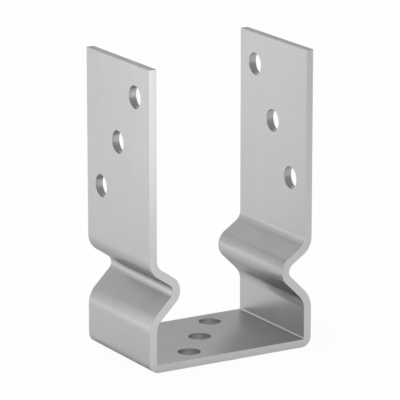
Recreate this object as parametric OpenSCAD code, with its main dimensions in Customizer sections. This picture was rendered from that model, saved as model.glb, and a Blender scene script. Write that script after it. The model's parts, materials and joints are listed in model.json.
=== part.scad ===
/* [Strip] */
// Width of the flat steel strip that the bracket is folded from
strip_w = 60; // [54:1:100]
// Thickness of the strip
strip_t = 4; // [2:0.5:5]

/* [Bracket] */
// Width over the outsides of the two legs
bracket_w = 90; // [84:1:160]
// Height from the underside to the tops of the legs
bracket_h = 147.5; // [136:0.5:240]
// Inside radius of the two bends at the ends of the base
base_bend_r = 1; // [0.5:0.5:6]

/* [Kink] */
// Height of the kink's point, where the centre lines of its two slopes would cross
kink_z = 40; // [36:0.5:50]
// How far in from the leg's centre line that point stands
kink_depth = 16; // [12:0.5:20]
// Lean from upright of the slope below the point
kink_low_lean = 45; // [40:1:50]
// Lean from upright of the slope above the point
kink_high_lean = 56; // [48:1:60]
// Inside radius of the bend at the foot of the kink
kink_foot_r = 9; // [4:0.5:11]
// Inside radius of the bend at the kink's point
kink_point_r = 4; // [2:0.5:5]
// Inside radius of the bend at the head of the kink
kink_head_r = 6; // [2:0.5:9]

/* [Leg holes] */
// Diameter of the holes in the legs
leg_hole_d = 11; // [5:0.5:14]
// Number of holes in each leg's slanting row
leg_holes = 3; // [1:1:3]
// Distance from the top of a leg down to the middle of its highest hole
leg_hole_top = 15.5; // [10:0.5:24]
// Drop from each leg hole to the next
leg_hole_drop = 25; // [16:0.5:28]
// Shift across the strip from each leg hole to the next
leg_hole_shift = 16.5; // [0:0.5:18]

/* [Anchor holes] */
// Diameter of the holes in the base
anchor_hole_d = 11; // [5:0.5:14]
// Number of holes in the base's slanting row
anchor_holes = 3; // [1:1:3]
// Step along the base from each anchor hole to the next
anchor_step = 17; // [16:0.5:28]
// Shift across the strip from each anchor hole to the next
anchor_shift = 19; // [0:0.5:19]

/* [Hidden] */
$fn = 96;
// How far a cutting shape runs past what it cuts
over = 1;
// How far a bend's arc crosses the flats that it would only touch, so that no sliver is left there
crossing = 0.0002;

// Centre line of the strip's right half, as the points where its straight runs would cross
leg_x = (bracket_w - strip_t) / 2;
mid_line = [
  [0, strip_t / 2],
  [leg_x, strip_t / 2],
  [leg_x, kink_z - kink_depth / tan(kink_low_lean)],
  [leg_x - kink_depth, kink_z],
  [leg_x, kink_z + kink_depth / tan(kink_high_lean)],
  [leg_x, bracket_h]
];
// Inside radius of the bend at each inner point of that line
bend_r = [0, base_bend_r, kink_foot_r, kink_point_r, kink_head_r];
bends = [1 : len(bend_r) - 1];

// Unit normal to the left of the run that ends at point i
function run_normal(i) =
  let (along = mid_line[i] - mid_line[i - 1])
  [-along.y, along.x] / norm(along);

// Point i moved off to the left, to where the two runs that meet there cross when both are moved so far
function corner(i, off) =
  let (before = run_normal(max(i, 1)), after = run_normal(min(i + 1, len(mid_line) - 1)))
  mid_line[i] + off * (before + after) / (1 + before * after);

// 1 where the strip turns left at point i and -1 where it turns right
function turn_side(i) = sign(cross(run_normal(i), run_normal(i + 1)));

// Distance from a bend's middle to the strip's centre line
function mid_r(i) = bend_r[i] + strip_t / 2;

// Middle of the bend at point i
function bend_middle(i) = corner(i, turn_side(i) * mid_r(i));

// The part of the plane that the bend at point i turns through, out to a distance from the bend's middle
module bend_wedge(i, reach) {
  side = turn_side(i);
  // The two runs in the order that takes the wedge's points round counter-clockwise
  runs = side > 0 ? [i, i + 1] : [i + 1, i];
  polygon([
    bend_middle(i),
    bend_middle(i) - side * reach * run_normal(runs[0]),
    corner(i, side * (mid_r(i) - reach)),
    bend_middle(i) - side * reach * run_normal(runs[1])
  ]);
}

module bend_circle(i, r) {
  translate(bend_middle(i)) circle(r + crossing);
}

// The strip seen edge on, with its corners still sharp
module sharp_half() {
  last = len(mid_line) - 1;
  outside_up = [for (i = [0 : last]) corner(i, -strip_t / 2)];
  inside_down = [for (i = [last : -1 : 0]) corner(i, strip_t / 2)];
  polygon(concat(outside_up, inside_down));
}

// The same with each bend filled to its inside radius and trimmed to its outside one
module folded_half() {
  difference() {
    union() {
      sharp_half();
      for (i = bends) {
        difference() {
          bend_wedge(i, mid_r(i));
          bend_circle(i, bend_r[i]);
        }
      }
    }
    for (i = bends) {
      difference() {
        bend_wedge(i, bend_r[i] + strip_t + over);
        bend_circle(i, bend_r[i] + strip_t);
      }
    }
  }
}

// Slanting row of holes in the right leg, highest at the back edge
module leg_hole_row() {
  for (k = [0 : leg_holes - 1]) {
    across = ((leg_holes - 1) / 2 - k) * leg_hole_shift;
    translate([leg_x - strip_t / 2 - over, across, bracket_h - leg_hole_top - k * leg_hole_drop])
      rotate([0, 90, 0]) cylinder(h = strip_t + 2 * over, d = leg_hole_d);
  }
}

// Slanting row of holes in the base, about its middle
module anchor_hole_row() {
  for (k = [0 : anchor_holes - 1]) {
    place = k - (anchor_holes - 1) / 2;
    translate([place * anchor_step, place * anchor_shift, -over])
      cylinder(h = strip_t + 2 * over, d = anchor_hole_d);
  }
}

// The folded strip with its holes. The legs are alike, each a half turn about the middle from the other
module bracket() {
  color("darkgray") difference() {
    rotate([90, 0, 0]) linear_extrude(strip_w, center = true) {
      folded_half();
      mirror([1, 0]) folded_half();
    }
    for (turn = [0, 180]) rotate(turn) leg_hole_row();
    anchor_hole_row();
  }
}

bracket();
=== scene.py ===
import json
import math

import bmesh
import bpy
import numpy as np
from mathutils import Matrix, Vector


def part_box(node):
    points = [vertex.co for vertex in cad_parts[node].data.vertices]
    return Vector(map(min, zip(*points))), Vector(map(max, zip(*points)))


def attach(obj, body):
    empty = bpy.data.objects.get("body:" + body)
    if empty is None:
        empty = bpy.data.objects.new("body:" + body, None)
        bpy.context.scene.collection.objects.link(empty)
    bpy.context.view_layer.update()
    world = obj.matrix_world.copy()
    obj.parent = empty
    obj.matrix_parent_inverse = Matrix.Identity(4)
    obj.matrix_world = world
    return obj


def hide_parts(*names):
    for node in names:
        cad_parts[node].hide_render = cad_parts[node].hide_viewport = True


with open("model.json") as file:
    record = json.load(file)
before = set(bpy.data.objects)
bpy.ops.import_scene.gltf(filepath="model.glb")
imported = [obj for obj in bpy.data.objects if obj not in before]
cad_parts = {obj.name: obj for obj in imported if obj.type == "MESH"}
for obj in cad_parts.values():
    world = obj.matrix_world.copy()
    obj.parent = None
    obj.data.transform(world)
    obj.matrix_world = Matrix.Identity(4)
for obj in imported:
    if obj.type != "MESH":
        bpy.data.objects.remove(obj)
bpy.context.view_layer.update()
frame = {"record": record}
scene = bpy.context.scene

# The camera. A long lens a little above the bracket, off to the left of its open side, as in the
# photograph: 30.6 degrees round from the front and 14.9 degrees down.
camera_turn = math.radians(-30.572)
camera_tilt = math.radians(14.866)
camera_distance = 1.6207
camera_aim = Vector((0, -0.0003, 0.07265))
sensor_width = 36
lens_length = 302.95


def direction(turn, tilt):
    """The way from the bracket to a viewer or lamp, from its turn round from the front and its tilt above
    the floor: sin(turn) cos(tilt) across, cos(turn) cos(tilt) to the front, and sin(tilt) up."""
    return Vector((math.sin(turn) * math.cos(tilt), -math.cos(turn) * math.cos(tilt), math.sin(tilt)))


camera_data = bpy.data.cameras.new("camera")
camera_data.sensor_width = sensor_width
camera_data.lens = lens_length
camera = bpy.data.objects.new("camera", camera_data)
scene.collection.objects.link(camera)
camera.location = camera_aim + camera_distance * direction(camera_turn, camera_tilt)
camera.rotation_euler = (math.pi / 2 - camera_tilt, 0, camera_turn)
scene.camera = camera


# The fold line. The press brake makes eight bends in the strip, four on each side of its middle: one that
# stands the leg up, and three that push it in to a point and bring it back, so that the post's end has a
# seat clear of the base. This is the middle line of the strip's thickness in its right half, seen edge on.
bracket_low, bracket_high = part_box("bracket")
bracket_w = bracket_high.x - bracket_low.x
bracket_h = bracket_high.z
strip_w = bracket_high.y - bracket_low.y
strip_t = 0.004
kink_z = 0.040
kink_depth = 0.016
kink_low_lean = math.radians(45)
kink_high_lean = math.radians(56)
inside_r = np.array([0.001, 0.009, 0.004, 0.006])

leg_x = (bracket_w - strip_t) / 2
corners = np.array([
    (0, strip_t / 2),
    (leg_x, strip_t / 2),
    (leg_x, kink_z - kink_depth / math.tan(kink_low_lean)),
    (leg_x - kink_depth, kink_z),
    (leg_x, kink_z + kink_depth / math.tan(kink_high_lean)),
    (leg_x, bracket_h),
])
steps = np.diff(corners, axis=0)
courses = np.unwrap(np.arctan2(steps[:, 1], steps[:, 0]))
turns = np.diff(courses)
middle_r = inside_r + strip_t / 2
taken = middle_r * np.tan(np.abs(turns) / 2)
runs = np.hypot(steps[:, 0], steps[:, 1]) - np.append(0, taken) - np.append(taken, 0)

# Straight runs and bends in turn, each with its length, the course it starts on and how fast it turns
stretches = np.zeros(2 * len(turns) + 1)
stretches[0::2] = runs
stretches[1::2] = middle_r * np.abs(turns)
curving = np.zeros(len(stretches))
curving[1::2] = np.sign(turns) / middle_r
start_course = np.repeat(courses, 2)[:len(stretches)]
starts = np.append(0, np.cumsum(stretches)[:-1])
half_length = stretches.sum()


def chord(course, curve, length):
    """The straight line across a stretch of even bend: length times sin(a) / a, on the course half way
    through its turn, where a is half the turn."""
    half_turn = curve * length / 2
    reach = length * np.sinc(half_turn / np.pi)
    return np.stack([reach * np.cos(course + half_turn), reach * np.sin(course + half_turn)], axis=-1)


start_points = corners[0] + np.cumsum(chord(start_course, curving, stretches), axis=0)
start_points = np.vstack([corners[:1], start_points[:-1]])


def fold(blank, blank_normals):
    """Takes places on the flat blank (distance along the strip from its middle, distance across it, height
    off the middle of its thickness) to where folding puts them: the point that far along the fold line, plus
    the height times the line's normal there. The left half mirrors the right one."""
    along, across, height = blank.T
    side = np.sign(along)
    k = np.searchsorted(starts, np.abs(along), side="right") - 1
    into = np.abs(along) - starts[k]
    line = start_points[k] + chord(start_course[k], curving[k], into)
    course = start_course[k] + curving[k] * into
    x = side * (line[:, 0] - height * np.sin(course))
    z = line[:, 1] + height * np.cos(course)
    n_along, n_across, n_height = blank_normals.T
    n_x = n_along * np.cos(course) - side * n_height * np.sin(course)
    n_z = side * n_along * np.sin(course) + n_height * np.cos(course)
    return np.stack([x, across, z], axis=1), np.stack([n_x, n_across, n_z], axis=1)


# The blank. Flat mild steel strip, 60 by 4 mm, sheared to length and punched with nine round holes before it
# is folded. Each hole comes from the record's openings, and each row slants so that bolts from the two
# sides of the post pass each other. The punch rounds the rim that it enters more than the other one.
bolt_row = next(m for m in frame["record"]["mounts"] if m["kind"] == "bolt_pattern")
hole_r = bolt_row["dims"]["hole_r_mm"] / 1000
edge_rim = 0.0002
punched_rim = 0.0002
exit_rim = 0.0001
rim_steps = 4
ring_steps = 5
cell_pitch = 0.0014
bend_step = math.radians(5)
# What rounding may add to a count or a place, and the decimals of a metre that tell two places apart
rounding = 1e-6
place_decimals = 7

hole_boxes = [o["box_m"] for o in frame["record"]["physics"]["openings"] if o["name"].endswith("hole")]
hole_middles = np.mean(np.array(hole_boxes), axis=1)
on_leg = hole_middles[:, 2] > strip_t
leg_along = np.sign(hole_middles[:, 0]) * (half_length - bracket_h + hole_middles[:, 2])
holes = np.stack([np.where(on_leg, leg_along, hole_middles[:, 0]), hole_middles[:, 1]], axis=1)
# Half the side of the square of mesh round each hole: neighbours on a leg just meet across the strip
leg_across = np.unique(holes[on_leg, 1].round(place_decimals))
hole_cell = np.diff(leg_across).min() / 2


def lines_through(marks, pitch_at):
    """Grid lines through all the marks, evenly spaced from each to the next and no further apart than the
    pitch that pitch_at gives for the middle of that gap."""
    marks = np.unique(np.round(marks, place_decimals))
    counts = np.ceil(np.diff(marks) / pitch_at((marks[1:] + marks[:-1]) / 2) - rounding).astype(int)
    share = np.concatenate([np.arange(n) / n for n in counts])
    return np.append(np.repeat(marks[:-1], counts) + share * np.repeat(np.diff(marks), counts), marks[-1])


def along_pitch(along):
    """Fine where the strip bends, so that no facet turns more than bend_step, and coarse on the flats."""
    curve = np.abs(curving[np.searchsorted(starts, np.abs(along), side="right") - 1])
    return np.where(curve > 0, bend_step / np.maximum(curve, 1), cell_pitch)


def grid_quads(rows, columns, closed=False):
    """Corner numbers of the quads of a grid of points that is stored row by row."""
    across = np.arange(columns if closed else columns - 1)
    row, column = np.meshgrid(np.arange(rows - 1), across, indexing="ij")
    ahead = (column + 1) % columns
    quads = [
        row * columns + column,
        (row + 1) * columns + column,
        (row + 1) * columns + ahead,
        row * columns + ahead,
    ]
    return np.stack(quads, axis=-1).reshape(-1, 4)


def with_third(rows, third):
    """Rows of pairs given their third coordinate, one for all or one for each row, as one list of points."""
    added = np.broadcast_to(np.reshape(third, (-1, 1, 1)), rows.shape[:2] + (1,))
    return np.concatenate([rows, added], axis=2).reshape(-1, 3)


hole_marks = np.concatenate([holes - hole_cell, holes + hole_cell])
end_along = half_length - edge_rim
end_across = strip_w / 2 - edge_rim
folds = np.concatenate([starts, -starts])
along_lines = lines_through(np.concatenate([hole_marks[:, 0], folds, [-end_along, end_along]]), along_pitch)
across_lines = lines_through(
    np.concatenate([hole_marks[:, 1], [-end_across, end_across]]), lambda across: cell_pitch
)


def face_sheet(height):
    """A face of the blank at that height: the grid of all lines along and across, without the squares of
    mesh that hole_ring fills."""
    along, across = np.meshgrid(along_lines, across_lines, indexing="ij")
    points = np.stack([along, across, np.full(along.shape, height)], axis=-1).reshape(-1, 3)
    quads = grid_quads(len(along_lines), len(across_lines))
    middles = points[quads, :2].mean(axis=1)
    in_square = (np.abs(middles[:, None] - holes[None]) < hole_cell).all(axis=2).any(axis=1)
    return points, quads[~in_square]


def square_outline(hole):
    """The grid's points round a hole's square, counter-clockwise, each with the angle that its share of its
    side stands for, so that the points spread evenly round the hole."""
    along = along_lines[np.abs(along_lines - hole[0]) < hole_cell + rounding]
    across = across_lines[np.abs(across_lines - hole[1]) < hole_cell + rounding]
    a, b = along[:-1], across[:-1]
    back_a, back_b = along[:0:-1], across[:0:-1]
    outline = np.concatenate([
        np.stack([a, np.full(len(a), across[0])], axis=1),
        np.stack([np.full(len(b), along[-1]), b], axis=1),
        np.stack([back_a, np.full(len(a), across[-1])], axis=1),
        np.stack([np.full(len(b), along[0]), back_b], axis=1),
    ])
    passed = [a - along[0], b - across[0], along[-1] - back_a, across[-1] - back_b]
    sides = np.concatenate([n + distance / (2 * hole_cell) for n, distance in enumerate(passed)])
    return outline, (sides - 1.5) * math.pi / 2


def hole_ring(hole, radius, height):
    """The mesh between a hole's rim and its square: rings that go from the circle of that radius to the
    square by even steps."""
    outline, angle = square_outline(hole)
    circle = hole + radius * np.stack([np.cos(angle), np.sin(angle)], axis=1)
    share = np.linspace(0, 1, ring_steps + 1)[:, None, None]
    rings = circle * (1 - share) + outline * share
    return with_third(rings, height), grid_quads(ring_steps + 1, len(outline), closed=True)


def edge_band(outline, outward, upper_rim, lower_rim):
    """The cut edge along an outline: a quarter round off the upper face, the wall, and a quarter round onto
    the lower face. A quarter round of radius r at angle a is set back by r (1 - sin a) and lies
    r (1 - cos a) inside its face."""
    a = np.linspace(0, math.pi / 2, rim_steps + 1)
    b = a[::-1]
    set_back = np.concatenate([upper_rim * (1 - np.sin(a)), lower_rim * (1 - np.sin(b))])
    below_upper, above_lower = upper_rim * (1 - np.cos(a)), lower_rim * (1 - np.cos(b))
    height = np.concatenate([strip_t / 2 - below_upper, above_lower - strip_t / 2])
    n_out = np.concatenate([np.sin(a), np.sin(b)])
    n_up = np.concatenate([np.cos(a), -np.cos(b)])
    points = with_third(outline - set_back[:, None, None] * outward, height)
    normals = with_third(n_out[:, None, None] * outward, n_up)
    return points, normals, grid_quads(len(height), len(outline), closed=True)


def strip_outline():
    """The blank's own outline, counter-clockwise from its lower right, with a round of the edge's own radius
    at each corner, and the way out at each point."""
    places, outward = [], []
    for n, (lines, reach) in enumerate([(across_lines, end_along), (along_lines, end_across)] * 2):
        turn = n * math.pi / 2
        out = np.array([round(math.cos(turn)), round(math.sin(turn))])
        onward = np.array([-out[1], out[0]])
        run = np.sort(lines * onward.sum())
        places.append(out * (reach + edge_rim) + run[:, None] * onward)
        outward.append(np.tile(out, (len(run), 1)))
        angle = turn + np.linspace(0, math.pi / 2, rim_steps + 1)[1:-1]
        way = np.stack([np.cos(angle), np.sin(angle)], axis=1)
        places.append(out * reach + onward * run[-1] + edge_rim * way)
        outward.append(way)
    return np.concatenate(places), np.concatenate(outward)


inner, outer = strip_t / 2, -strip_t / 2
blank_parts = []
for height, rim in ((inner, exit_rim), (outer, punched_rim)):
    sheets = [face_sheet(height)] + [hole_ring(hole, hole_r + rim, height) for hole in holes]
    for points, quads in sheets:
        normals = np.tile([0, 0, np.sign(height)], (len(points), 1))
        blank_parts.append((points, normals, quads if height > 0 else quads[:, ::-1]))
blank_parts.append(edge_band(*strip_outline(), edge_rim, edge_rim))
for hole in holes:
    _, angle = square_outline(hole)
    inward = -np.stack([np.cos(angle), np.sin(angle)], axis=1)[::-1]
    blank_parts.append(edge_band(hole - hole_r * inward, inward, exit_rim, punched_rim))

firsts = np.cumsum([0] + [len(points) for points, _, _ in blank_parts])
blank_points = np.concatenate([points for points, _, _ in blank_parts])
blank_normals = np.concatenate([normals for _, normals, _ in blank_parts])
blank_quads = np.concatenate([quads + first for (_, _, quads), first in zip(blank_parts, firsts)])


# The folded strip. One piece of steel, from the tip of one leg through the base to the tip of the other.
# Its mesh keeps each point's place on the flat blank, because the grain follows the strip round its bends.
weld_distance = 1e-6

points, normals = fold(blank_points, blank_normals)
strip_mesh = bpy.data.meshes.new("folded_strip")
strip_mesh.from_pydata(points, [], blank_quads)
for name, values in (("blank", blank_points), ("made_normal", normals)):
    attribute = strip_mesh.attributes.new(name, "FLOAT_VECTOR", "POINT")
    attribute.data.foreach_set("vector", values.astype(np.float32).ravel())
welded = bmesh.new()
welded.from_mesh(strip_mesh)
loose = [v for v in welded.verts if not v.link_faces]
bmesh.ops.delete(welded, geom=loose, context="VERTS")
bmesh.ops.remove_doubles(welded, verts=welded.verts, dist=weld_distance)
welded.to_mesh(strip_mesh)
welded.free()
made_normal = strip_mesh.attributes["made_normal"]
kept_normals = np.empty(3 * len(strip_mesh.vertices), np.float32)
made_normal.data.foreach_get("vector", kept_normals)
strip_mesh.attributes.remove(made_normal)
strip_mesh.polygons.foreach_set("use_smooth", np.ones(len(strip_mesh.polygons), bool))
strip_mesh.normals_split_custom_set_from_vertices(kept_normals.reshape(-1, 3))
folded_strip = bpy.data.objects.new("folded_strip", strip_mesh)
scene.collection.objects.link(folded_strip)


# The finish. Thin bright zinc over rolled steel, a satin neutral grey with fine grain from the rolls and
# soft streaks and clouds in the plating. The slit edges are rougher, with their grain through the
# thickness, and are painted a little lighter as a painted highlight. The sheared ends and punched bores
# are painted darker, which in the bores is painted shade.
plating_tone = 0.60
tone_unevenness = 0.03
plating_roughness = 0.30
broad_unevenness = 0.04
fine_unevenness = 0.05
# Every cut edge takes the first two, and a sheared end or punched bore takes the other two as well
# A painted highlight: every cut edge is painted this much lighter
cut_painted_highlight = 0.07
cut_roughening = 0.06
# Sheared ends and punched bores are painted this much darker, and in the bores it is painted shade
end_darkening_and_bore_shade = 0.13
sheared_roughening = 0.04
grain_strength = 0.15
grain_depth = 0.00002
grazing_tint = (0.5, 0.5, 0.5, 1)
# Cells of noise in a metre along the strip, across it and through its thickness
grain_cells = (70, 2600, 2600)
cross_grain_cells = (2200, 2200, 160)
streak_cells = (12, 300, 300)
cloud_cells = (55, 55, 55)


class Wire:
    """One output in a shader tree. Arithmetic and > on wires add Math nodes, and node adds any kind."""

    def __init__(self, tree, socket=None):
        self.tree = tree
        self.socket = socket

    def node(self, kind, settings, inputs, output=0):
        """A node of that kind, with its settings made first and then the values or wires of its inputs."""
        made = self.tree.nodes.new(kind)
        for name, value in settings.items():
            setattr(made, name, value)
        for name, value in inputs.items():
            if isinstance(value, Wire):
                self.tree.links.new(value.socket, made.inputs[name])
            else:
                made.inputs[name].default_value = value
        return Wire(self.tree, made.outputs[output] if made.outputs else None)

    def math(self, operation, first, second):
        return self.node("ShaderNodeMath", {"operation": operation}, {0: first, 1: second})

    def __add__(self, other):
        return self.math("ADD", self, other)

    def __sub__(self, other):
        return self.math("SUBTRACT", self, other)

    def __mul__(self, other):
        return self.math("MULTIPLY", self, other)

    def __rsub__(self, other):
        return self.math("SUBTRACT", other, self)

    def __gt__(self, other):
        return self.math("GREATER_THAN", self, other)

    __radd__ = __add__
    __rmul__ = __mul__


def new_tree(owner):
    """The emptied node tree of a material or world."""
    owner.use_nodes = True
    owner.node_tree.nodes.clear()
    return Wire(owner.node_tree)


def zinc_plated_steel():
    """Metal whose colour, roughness and fine bumps follow noise that is stretched along the strip on its
    rolled faces and through its thickness on the cut ones."""
    material = bpy.data.materials.new("zinc_plated_steel")
    tree = new_tree(material)
    blank = tree.node("ShaderNodeAttribute", {"attribute_name": "blank"}, {}, "Vector")
    cut = tree.node("ShaderNodeAttribute", {"attribute_name": "cut"}, {}, "Fac")
    sheared = tree.node("ShaderNodeAttribute", {"attribute_name": "sheared"}, {}, "Fac")

    def noise(cells, detail, roughness=0.5):
        """Noise around nought, with that many cells in a metre of the flat blank each way."""
        place = tree.node("ShaderNodeVectorMath", {"operation": "MULTIPLY"}, {0: blank, 1: cells})
        inputs = {"Vector": place, "Scale": 1, "Detail": detail, "Roughness": roughness}
        return tree.node("ShaderNodeTexNoise", {}, inputs, "Fac") - 0.5

    grain = noise(grain_cells, detail=4, roughness=0.6)
    streaks = noise(streak_cells, detail=2)
    clouds = noise(cloud_cells, detail=3)
    cross_grain = noise(cross_grain_cells, detail=3, roughness=0.6)
    broad = streaks + clouds
    fine = grain * (1 - cut) + cross_grain * cut
    tone = plating_tone + tone_unevenness * (broad + fine)
    # Cut edges painted lighter as a painted highlight; sheared ends and bores painted darker, painted shade
    # in the bores
    tone = tone + cut_painted_highlight * cut - end_darkening_and_bore_shade * sheared
    colour = tree.node("ShaderNodeCombineColor", {}, {"Red": tone, "Green": tone, "Blue": tone})
    roughness = plating_roughness + broad_unevenness * broad + fine_unevenness * fine
    roughness = roughness + cut_roughening * cut + sheared_roughening * sheared
    bump_inputs = {"Strength": grain_strength, "Distance": grain_depth, "Height": fine}
    bump = tree.node("ShaderNodeBump", {}, bump_inputs)
    surface = tree.node("ShaderNodeBsdfPrincipled", {}, {
        "Base Color": colour,
        "Metallic": 1.0,
        "Roughness": roughness,
        "Normal": bump,
        "Specular Tint": grazing_tint,
    })
    tree.node("ShaderNodeOutputMaterial", {}, {"Surface": surface})
    return material


kept_blank = np.empty(3 * len(strip_mesh.vertices), np.float32)
strip_mesh.attributes["blank"].data.foreach_get("vector", kept_blank)
kept_blank = kept_blank.reshape(-1, 3)
is_cut = np.abs(kept_blank[:, 2]) < strip_t / 2 - 0.5 * exit_rim
to_hole = np.linalg.norm(kept_blank[:, None, :2] - holes[None], axis=2).min(axis=1)
at_end = np.abs(kept_blank[:, 0]) > half_length - 0.5 * edge_rim
is_sheared = is_cut & (at_end | (to_hole < hole_cell))
for name, values in (("cut", is_cut), ("sheared", is_sheared)):
    strip_mesh.attributes.new(name, "FLOAT", "POINT").data.foreach_set("value", values.astype(np.float32))
strip_mesh.materials.append(zinc_plated_steel())
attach(folded_strip, "root")
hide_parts("bracket")


# The stage. A pale floor in a pale grey room, with four large soft panels at a distance, left of the bracket
# and behind it, and five small lamps near it, whose light falls off along its bends and edges. The floor is
# white to the camera but for the bracket's shadow; under the base, seen through its holes, it is bare paint.
floor_size = 30
floor_white = 0.85
white_to_camera = 0.95
white_to_metal = 0.2
room_to_metal = 0.38
room_to_floor = 0.69
# Each lamp's name, its turn and tilt in degrees, its distance from the bracket's middle, its width, its
# height and its glow, which is how bright the metal sees it, where 1 is white
lamp_rows = (
    ("left_panel", 240, 10, 1.6, 0.9, 0.6, 0.73),
    ("back_right_panel", 150, 32, 1.6, 0.9, 0.6, 1.2),
    ("high_back_panel", 180, 54, 1.6, 0.9, 0.6, 0.78),
    ("high_left_panel", 210, 54, 1.6, 0.9, 0.6, 1.2),
    ("near_back_lamp", 180, 6, 0.42, 0.25, 0.25, 0.55),
    ("near_back_left_lamp", 210, 6, 0.42, 0.25, 0.25, 0.15),
    ("near_left_lamp", 240, 6, 0.42, 0.25, 0.25, 0.82),
    ("near_high_left_lamp", 240, 32, 0.42, 0.25, 0.25, 0.76),
    ("near_front_lamp", 350, 10, 0.16, 0.12, 0.12, 1.2),
)


def rays(tree, *kinds):
    """A wire for each kind of ray, which is one on a light path of that kind and nought on any other."""
    return [tree.node("ShaderNodeLightPath", {}, {}, f"Is {kind} Ray") for kind in kinds]


half = floor_size / 2
floor_mesh = bpy.data.meshes.new("floor")
floor_corners = [(-half, -half, 0), (half, -half, 0), (half, half, 0), (-half, half, 0)]
floor_mesh.from_pydata(floor_corners, [], [(0, 1, 2, 3)])
floor = bpy.data.objects.new("floor", floor_mesh)
scene.collection.objects.link(floor)
floor_material = bpy.data.materials.new("floor")
tree = new_tree(floor_material)
paint = tree.node("ShaderNodeBsdfDiffuse", {}, {"Color": (floor_white, floor_white, floor_white, 1)})
white = tree.node("ShaderNodeEmission", {}, {"Strength": 1})
to_camera, to_gloss, to_glass = rays(tree, "Camera", "Glossy", "Transmission")
# The reach is one on the ellipse that just fits in the flat of the base
place = tree.node("ShaderNodeTexCoord", {}, {}, "Object")
to_base = (1 / runs[0], 2 / strip_w, 0)
base_place = tree.node("ShaderNodeVectorMath", {"operation": "MULTIPLY"}, {0: place, 1: to_base})
reach = tree.node("ShaderNodeVectorMath", {"operation": "LENGTH"}, {0: base_place}, "Value")
past_base = reach > 1
share = past_base * (white_to_camera * to_camera + white_to_metal * (to_gloss + to_glass))
mixed = tree.node("ShaderNodeMixShader", {}, {0: share, 1: paint, 2: white})
tree.node("ShaderNodeOutputMaterial", {}, {"Surface": mixed})
floor_mesh.materials.append(floor_material)

world = bpy.data.worlds.new("room")
tree = new_tree(world)
to_gloss, to_glass = rays(tree, "Glossy", "Transmission")
strength = room_to_floor - (room_to_floor - room_to_metal) * (to_gloss + to_glass)
room = tree.node("ShaderNodeBackground", {}, {"Color": (1, 1, 1, 1), "Strength": strength})
tree.node("ShaderNodeOutputWorld", {}, {"Surface": room})
scene.world = world

middle = Vector((0, 0, bracket_h / 2))
for name, turn, tilt, from_middle, width, height, glow in lamp_rows:
    away = direction(math.radians(turn), math.radians(tilt))
    lamp_data = bpy.data.lights.new(name, "AREA")
    lamp_data.shape = "RECTANGLE"
    lamp_data.size = width
    lamp_data.size_y = height
    lamp_data.energy = math.pi * width * height * glow
    lamp = bpy.data.objects.new(name, lamp_data)
    scene.collection.objects.link(lamp)
    lamp.location = middle + from_middle * away
    lamp.rotation_euler = away.to_track_quat("Z", "Y").to_euler()
    lamp.visible_camera = False

scene.view_settings.view_transform = "Standard"
